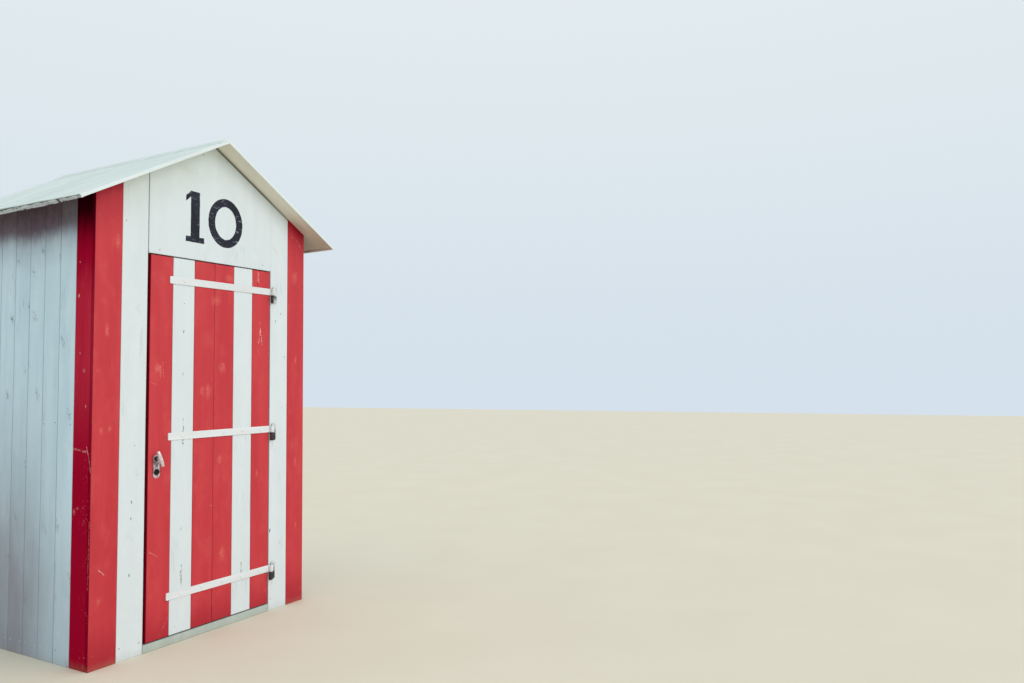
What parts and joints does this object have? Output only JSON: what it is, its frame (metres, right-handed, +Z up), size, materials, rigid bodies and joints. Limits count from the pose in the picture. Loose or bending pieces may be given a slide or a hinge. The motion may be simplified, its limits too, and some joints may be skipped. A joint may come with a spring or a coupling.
{
  "type": "beach hut",
  "caption": "Timber beach hut with a red-and-white striped front, boarded walls, a sheet gable roof and a boarded door on strap hinges with a turning handle.",
  "frame": {"origin": "on the ground under the middle of the roof's plan", "axes": "+Z up, the striped front faces -Y, +X to the right of someone facing the front"},
  "size_m": [1.7746, 1.602, 2.8059],
  "materials": {
    "frame_timber": "bare sawn softwood, dusty",
    "pale_blue_paint": "weathered matt paint on boards",
    "sill_paint": "pale grey-green paint, sandy",
    "red_paint": "satin red paint with scuffs",
    "white_paint": "satin white paint, slightly green",
    "roof_paint": "white paint brushed on roofing felt",
    "soffit_paint": "cream paint on sheet, weathered at the eaves",
    "strap_paint": "white brushed paint on flat iron",
    "pintle_iron": "dark iron, rusty, part painted",
    "plate_metal": "dull grey metal",
    "key_metal": "blackened",
    "handle_metal": "worn pale metal"
  },
  "bodies": {
    "hut": {"bearers": "frame_timber", "floor_deck": "frame_timber", "corner_posts": "frame_timber", "door_posts": "frame_timber", "door_head": "frame_timber", "door_stops": "frame_timber", "bottom_rails": "frame_timber", "middle_rails": "frame_timber", "eave_plates": "frame_timber", "rear_tie_rail": "frame_timber", "ridge_beam": "frame_timber", "rafters": "frame_timber", "left_wall": "pale_blue_paint", "right_wall": "pale_blue_paint", "rear_wall": "pale_blue_paint", "threshold": "sill_paint", "left_corner_board": "red_paint", "right_corner_board": "red_paint", "red_board_left": "red_paint", "red_board_right": "red_paint", "white_board_left": "white_paint", "white_board_right": "white_paint", "gable_panel": "white_paint", "roof_cover_left": "roof_paint", "roof_cover_right": "roof_paint", "roof_panel_left": "soffit_paint", "roof_panel_right": "soffit_paint", "pintle_bottom": "pintle_iron", "pintle_middle": "pintle_iron", "pintle_top": "pintle_iron"},
    "door": {"door_board_1": "red_paint", "door_board_2": "white_paint", "door_board_3": "red_paint", "door_board_4": "red_paint", "door_board_5": "white_paint", "door_board_6": "red_paint", "door_ledges": "frame_timber", "door_braces": "frame_timber", "strap_bottom": "strap_paint", "strap_middle": "strap_paint", "strap_top": "strap_paint", "lock_plates": "plate_metal", "lock_cylinder": "key_metal"},
    "handle": {"handle": "handle_metal"}
  },
  "joints": [
    {"name": "door_swing", "type": "hinge", "parent": "hut", "child": "door", "pos_m": [0.443, -0.694, 1], "axis": [0, 0, 1], "range_deg": [0, 170]},
    {"name": "handle_turn", "type": "hinge", "parent": "door", "child": "handle", "pos_m": [-0.362, -0.682, 1.002], "axis": [0, 1, 0], "range_deg": [0, 45], "stiffness_Nm_per_rad": 0.3}
  ]
}
